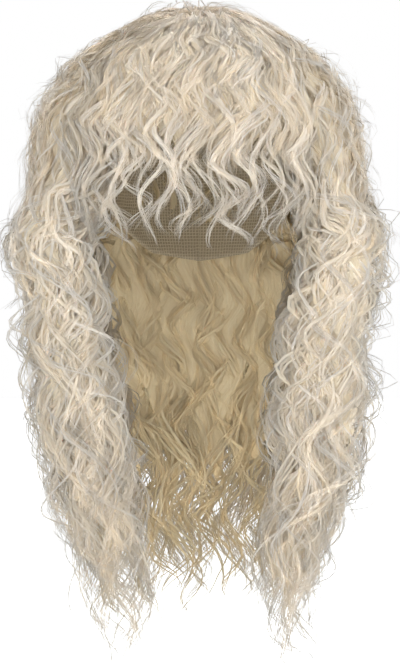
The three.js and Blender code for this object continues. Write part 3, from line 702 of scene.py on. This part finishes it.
def makeBackHair():
    rng = np.random.default_rng(21)
    hair = Hair("back_curls")
    layUndercoat(hair, rng, curtainForm, backHair["undercoat"])
    for layer in ("main", "filling"):
        look = layerLook(backHair, layer)
        for i in range(look["locks"]):
            across = backHair["edges"] + (1 - 2 * backHair["edges"]) * strewn(i)
            deep = rng.uniform(*look["deepOut"]) if i % 5 < 3 else rng.uniform(*look["deepIn"])
            rootShare = deep ** 0.8 * rng.uniform(0.6, 1)
            start = look["rootHigh"] + (look["rootLow"] - look["rootHigh"]) * rootShare
            end = -headForm["height"] - rng.uniform(look["tipLow"], look["tipHigh"])
            way = lockWay(curtainForm, look, across, deep, start, end, rng.normal(0, look["drift"]))
            # locks on the inner face take the yellower hair of painted shade
            growLock(hair, rng, way, {**look, "fibre": innerShadedHair} if deep > 0.5 else look)
    return hair.build()


attach(makeBackHair(), "back_hair")


# Fringe: forward over the brow, parting into wavy wisps
fringeHair = {
    "underside": 13,  # depth of the part that hangs free
    "past": 0.08,  # how far it runs on past the partings
    "leavesHead": (-45, 5),  # levels between which it comes off the brow
    "main": {
        "locks": 100, "strands": 4, "width": (0.35, 0.75), "step": 4.1,
        "inset": 3.5, "radius": 3.6, "gather": 0.3, "stroll": 6, "drift": 0.05,
        "pitch": (49, 57), "swing": (3.4, 6), "bobHigh": 0.35, "bob": 0.3, "loose": 0.3, "astray": 0.6,
        "waves": (-135, -40), "tipSwing": 0.4, "wander": 1.4, "wanderPitch": 80,
        "frizz": 0.2, "frizzPitch": 15, "strayShare": 0.06, "endsFrom": 0.92,
        "rootHigh": -136, "rootLow": -40, "hem": -82, "tipLow": -122,
        "deepOut": (0.02, 0.25), "deepIn": (0.4, 0.95),  # every sixth lock lies deep
    },
    "wisps": {  # wavy locks that hang lower, with gaps between them, paler: painted highlight
        "locks": 46, "wisps": 3, "strands": 5, "inset": 2, "radius": 2.4, "wispRadius": 1, "stroll": 7,
        "pitch": (44, 56), "swing": (4.6, 7.6), "loose": 0.22, "tone": 0.75, "endsFrom": 0.95,
        "hem": -140, "tipLow": -175, "deepIn": (0.02, 0.25),
    },
    "filling": {  # broad strands close over the undercoat, a little darker: painted shade
        "locks": 50, "wisps": 6, "strands": 1, "width": (1.4, 2.4), "step": 5, "radius": 3, "inset": 4.5,
        "strayShare": 0, "tone": 0.45, "hem": -72, "tipLow": -104,
    },
    "undercoat": {
        "fibre": underShadedHair, "columns": 110, "rows": 44, "bothFaces": False,
        "start": -112, "end": -6, "ragged": 7, "below": 4.5, "belowHung": 4.5,
        "drawIn": 0, "drawFrom": (0, 0), "pitch": 52, "swing": 6, "relief": 1.3, "tone": 0.5,
    },
}


def fringeForm(across, fall):
    azimuth = np.radians(hairForm["fringeEdge"]) * (2 * across - 1)
    outer = hairSurface(azimuth, fall)
    inner = headSurface(azimuth, fall, headForm["wall"] + headForm["gap"])
    radial = np.stack([np.sin(azimuth), -np.cos(azimuth), 0 * azimuth], -1)
    hangs = smoothStep(fall, *fringeHair["leavesHead"])[:, None]
    return outer, inner + (outer - fringeHair["underside"] * radial - inner) * hangs, 0.5 * inner


def makeFringe():
    rng = np.random.default_rng(31)
    hair = Hair("fringe_curls")
    layUndercoat(hair, rng, fringeForm, fringeHair["undercoat"])
    for layer in ("main", "wisps", "filling"):
        look = layerLook(fringeHair, layer)
        for i in range(look["locks"]):
            across = (1 + 2 * fringeHair["past"]) * strewn(i) - fringeHair["past"]
            deep = rng.uniform(*look["deepOut"]) if i % 6 else rng.uniform(*look["deepIn"])
            start = look["rootHigh"] + (look["rootLow"] - look["rootHigh"]) * deep * rng.uniform(0.5, 1)
            tip = look["hem"] + (look["tipLow"] - look["hem"]) * rng.random()
            end = -headForm["height"] - tip
            way = lockWay(fringeForm, look, across, deep, start, end, rng.normal(0, look["drift"]))
            growLock(hair, rng, way, look)
    return hair.build()


attach(makeFringe(), "fringe")


# Crown: hair that turns out of one whorl, a little before the top of the head
crownHair = {
    "whorl": (-5, -22), "swirl": 0.7, "reach": 112,  # place, turn of the hair round it, radius
    "main": {
        "fibre": crownFibre, "locks": 230, "strands": 4, "width": (0.4, 0.8), "step": 5.6,
        "inset": 2.2, "radius": 2.6, "gather": 0.2, "stroll": 2, "drift": 0.02,
        "pitch": (46, 62), "swing": (1.8, 4), "bobHigh": 0.2, "bob": 0.2, "loose": 0.4, "astray": 1,
        "rise": 6, "waves": (10, 55), "tipSwing": 0.8, "wander": 1.8, "wanderPitch": 60,
        "frizz": 0.2, "frizzPitch": 15, "strayShare": 0.06, "endsFrom": 0.8, "tone": 0.55,
        "rootReach": 15, "tips": (50, 112), "deep": (0.02, 0.16),
    },
    "flicks": {  # loose hairs that arch above the rest
        "locks": 44, "wisps": 1, "strands": 3, "width": (0.35, 0.6), "step": 4, "radius": 0.5, "inset": 1,
        "tone": 0.7, "swing": (2, 5), "arch": True, "roots": (2, 26), "length": (25, 48), "lift": (2, 8),
        "deep": 0.03,
    },
    "undercoat": {
        "fibre": whorlHair, "columns": 96, "rows": 20, "bothFaces": False,
        "start": 1, "end": 66, "ragged": 4, "below": 5, "belowHung": 5,
        "drawIn": 0, "drawFrom": (0, 0), "pitch": 70, "swing": 3, "relief": 0.8, "tone": 0.5,
    },
}


def domeSurface(x, y, ovals, height, point):
    radius = np.hypot(x, y)
    azimuth = np.arctan2(x, -y)
    across = np.minimum(1, radius / ovalRadius(azimuth, *ovals)) ** (1 / point)
    return np.stack([x, y, -headForm["height"] + height * np.sqrt(1 - across ** 2)], -1)


# Across goes once round the whorl, and reach is the distance from it
def crownForm(across, reach):
    share = reach / crownHair["reach"]
    turned = 2 * np.pi * across + crownHair["swirl"] * np.maximum(0, 1 - share) ** 1.5
    x = crownHair["whorl"][0] * (1 - share) + np.sin(turned) * reach
    y = crownHair["whorl"][1] * (1 - share) - np.cos(turned) * reach
    off = headForm["wall"] + headForm["gap"]
    hairOvals = [hairForm[key] for key in ("left", "right", "front", "back")]
    headOvals = [headForm[key] + off for key in ("side", "side", "front", "back")]
    outer = domeSurface(x, y, hairOvals, hairForm["height"], hairForm["point"])
    inner = domeSurface(x, y, headOvals, headForm["height"] + off, 1)
    return outer, inner, 2 * inner - outer


def makeCrown():
    rng = np.random.default_rng(41)
    hair = Hair("crown_curls")
    layUndercoat(hair, rng, crownForm, crownHair["undercoat"])
    look = layerLook(crownHair, "main")
    for i in range(look["locks"]):
        root = look["rootReach"] * math.sqrt(rng.random()) + 1
        tip = rng.uniform(*look["tips"])
        deep = rng.uniform(*look["deep"])
        way = lockWay(crownForm, look, strewn(i), deep, root, tip, rng.normal(0, look["drift"]))
        growLock(hair, rng, way, look)
    look = layerLook(crownHair, "flicks")
    for i in range(look["locks"]):
        root = rng.uniform(*look["roots"])
        tip = root + rng.uniform(*look["length"])
        across = rng.random()
        way = lockWay(crownForm, look, across, look["deep"], root, tip, 0, rng.uniform(*look["lift"]))
        growLock(hair, rng, way, look)
    return hair.build()


attach(makeCrown(), "crown_hair")


# Cap: elastic net, with the hair sewn to it in rows and a hem round its rim
capLook = {
    "rim": [  # azimuth from the front, depth below the top
        (0, 62), (45, 66), (66, 84), (80, 106), (98, 100), (125, 134), (152, 160), (180, 166),
    ],
    "columns": 144, "rows": 64, "rowGap": 13, "rowHeight": 0.7, "rowHalf": 1.6,
    "hemWidth": 7, "hemHeight": 0.6, "hemSlope": 0.8,
    # the holes of the net are darker: painted shade in them
    "net": (0.74, 0.64, 0.46), "holeShade": (0.52, 0.42, 0.28), "rough": 0.85,
    "meshes": 420, "netDepth": 0.4,  # meshes to a metre, and the depth of their holes
    "uneven": 0.15, "thread": (0.08, 0.2),  # of the net, as shares of a mesh
    "netRadius": 0.09,  # in metres, by which the net is laid out flat
}


def capNetMaterial():
    material = bpy.data.materials.new("capNet")
    material.use_nodes = True
    tree = material.node_tree
    shader = tree.nodes["Principled BSDF"]
    shader.inputs["Roughness"].default_value = capLook["rough"]
    sheet = addNode(tree, "ShaderNodeUVMap", {"uv_map": "weave"})
    values = {"Scale": capLook["meshes"], "Randomness": capLook["uneven"]}
    linked = {"Vector": sheet.outputs["UV"]}
    weave = addNode(tree, "ShaderNodeTexVoronoi", {"feature": "DISTANCE_TO_EDGE"}, values, linked)
    thin, thick = capLook["thread"]
    holes = mapRange(tree, weave.outputs["Distance"], {"From Min": thin, "From Max": thick})
    colors = []
    # threads and holes, the holes in painted shade
    for key in ("net", "holeShade"):
        color = addNode(tree, "ShaderNodeRGB").outputs[0]
        color.default_value = (*capLook[key], 1)
        colors.append(color)
    tree.links.new(mixColour(tree, holes, *colors), shader.inputs["Base Color"])
    depth = {"Distance": capLook["netDepth"] * mm}
    bump = addNode(tree, "ShaderNodeBump", {"invert": True}, depth, {"Height": holes})
    tree.links.new(bump.outputs["Normal"], shader.inputs["Normal"])
    return material


def makeCap():
    look = capLook
    azimuth = np.linspace(-np.pi, np.pi, look["columns"] + 1)
    rim = np.array(look["rim"], float)
    depth = np.interp(np.abs(np.degrees(azimuth)), rim[:, 0], rim[:, 1])
    polar = np.arccos(np.clip(1 - depth / headForm["height"], 0, 1))
    lowest = hairForm["domeArc"] * (polar / (np.pi / 2) - 1) + np.maximum(0, depth - headForm["height"])
    share = np.linspace(0.02, 1, look["rows"])[:, None]
    fall = -hairForm["domeArc"] + share * (lowest + hairForm["domeArc"])
    azimuth = np.broadcast_to(azimuth, fall.shape)
    row = np.abs((fall / look["rowGap"]) % 1 - 0.5) * look["rowGap"]
    raised = look["rowHeight"] * np.maximum(0, 1 - (row / look["rowHalf"]) ** 2)
    hemTop = -look["hemWidth"]
    hem = look["hemHeight"] * smoothStep(fall - lowest, hemTop - look["hemSlope"], hemTop)
    inward = np.stack([-np.sin(azimuth), np.cos(azimuth), -0.4 + 0 * azimuth], -1)
    inside = headSurface(azimuth, fall, 0) + inward * np.maximum(raised, hem)[..., None]
    outside = headSurface(azimuth, fall, headForm["wall"])
    points = np.concatenate([inside[:, :-1].reshape(-1, 3), outside[:, :-1].reshape(-1, 3)]) * mm
    rows, columns = look["rows"], look["columns"]
    index = np.arange(rows * columns).reshape(rows, columns)
    following = np.roll(index, -1, axis=1)
    second = rows * columns
    inner = np.stack([index[:-1], following[:-1], following[1:], index[1:]], -1).reshape(-1, 4)
    outer = inner[:, ::-1] + second
    edge = np.stack([index[-1], following[-1], following[-1] + second, index[-1] + second], -1)
    top = np.stack([index[0] + second, following[0] + second, following[0], index[0]], -1)
    faces = np.concatenate([inner, outer, edge, top])
    mesh = bpy.data.meshes.new("cap_net")
    mesh.from_pydata(points.tolist(), [], faces.tolist())
    mesh.polygons.foreach_set("use_smooth", np.ones(len(faces), dtype=bool))
    sheet = mesh.uv_layers.new(name="weave")
    radius = look["netRadius"]
    flat = np.stack([azimuth[:, :-1] * radius, (fall[:, :-1] + hairForm["domeArc"]) * mm], -1).reshape(-1, 2)
    flat = np.concatenate([flat, flat])[faces]
    wrapped = np.ptp(flat[..., 0], axis=1) > np.pi * radius  # the last column runs on past the first
    flat[wrapped, :, 0] += np.where(flat[wrapped, :, 0] < 0, 2 * np.pi * radius, 0)
    sheet.uv.foreach_set("vector", flat.astype(np.float32).ravel())
    mesh.materials.append(capNetMaterial())
    piece = bpy.data.objects.new("cap_net", mesh)
    bpy.context.scene.collection.objects.link(piece)
    print(f"cap_net: {2 * len(faces)} triangles")
    return piece


attach(makeCap(), "cap")


# Camera at the height of the wig's middle, level, far off with a long lens
cameraLook = {"distance": 2.2, "middle": -0.222, "frameHeight": 0.494, "sensor": 36}


def makeCamera():
    data = bpy.data.cameras.new("camera")
    data.sensor_width = cameraLook["sensor"]
    data.lens = cameraLook["sensor"] * cameraLook["distance"] / cameraLook["frameHeight"]
    camera = bpy.data.objects.new("camera", data)
    camera.location = (0, -cameraLook["distance"], cameraLook["middle"])
    camera.rotation_euler = (math.radians(90), 0, 0)
    bpy.context.scene.collection.objects.link(camera)
    bpy.context.scene.camera = camera


studio = {
    "floor": -0.6, "floorSize": 30, "floorColor": (0.92, 0.92, 0.91), "floorGlow": 0.55, "floorRough": 0.9,
    "skyLight": 0.87, "skySeen": 1.0,
    "aim": (0, 0, -0.2),
    "lights": [  # name, place, size, watts
        ("frontLight", (0.5, -2.6, -0.6), 2.4, 3.5),
        ("rightLight", (2.0, -1.2, -0.3), 1.5, 9),
        ("lowLight", (-0.1, -1.1, -0.5), 0.9, 3.5),
        ("rimLight", (0.2, 2.2, 1.2), 1.8, 20),
    ],
}


# Gives a socket one value for what the camera sees and another for the light that falls on the hair
def onlySeen(tree, socket, lit, seen):
    cameraRay = addNode(tree, "ShaderNodeLightPath").outputs["Is Camera Ray"]
    tree.links.new(mapRange(tree, cameraRay, {"To Min": lit, "To Max": seen}), socket)


def makeStudio():
    half, z = studio["floorSize"] / 2, studio["floor"]
    corners = [(-half, -half, z), (half, -half, z), (half, half, z), (-half, half, z)]
    mesh = bpy.data.meshes.new("floor")
    mesh.from_pydata(corners, [], [(0, 1, 2, 3)])
    material = bpy.data.materials.new("paleFloor")
    material.use_nodes = True
    shader = material.node_tree.nodes["Principled BSDF"]
    shader.inputs["Base Color"].default_value = (*studio["floorColor"], 1)
    shader.inputs["Roughness"].default_value = studio["floorRough"]
    shader.inputs["Emission Color"].default_value = (1, 1, 1, 1)
    onlySeen(material.node_tree, shader.inputs["Emission Strength"], 0, studio["floorGlow"])
    mesh.materials.append(material)
    floor = bpy.data.objects.new("floor", mesh)
    bpy.context.scene.collection.objects.link(floor)
    for name, place, size, watts in studio["lights"]:
        data = bpy.data.lights.new(name, "AREA")
        data.size = size
        data.energy = watts
        light = bpy.data.objects.new(name, data)
        light.location = place
        light.rotation_euler = (Vector(studio["aim"]) - Vector(place)).to_track_quat("-Z", "Y").to_euler()
        bpy.context.scene.collection.objects.link(light)
    world = bpy.data.worlds.new("whiteRoom")
    world.use_nodes = True
    tree = world.node_tree
    sky = tree.nodes["Background"]
    sky.inputs["Color"].default_value = (1, 1, 1, 1)
    onlySeen(tree, sky.inputs["Strength"], studio["skyLight"], studio["skySeen"])
    bpy.context.scene.world = world
    bpy.context.scene.view_settings.view_transform = "Standard"


makeCamera()
makeStudio()
print("camera and studio placed")
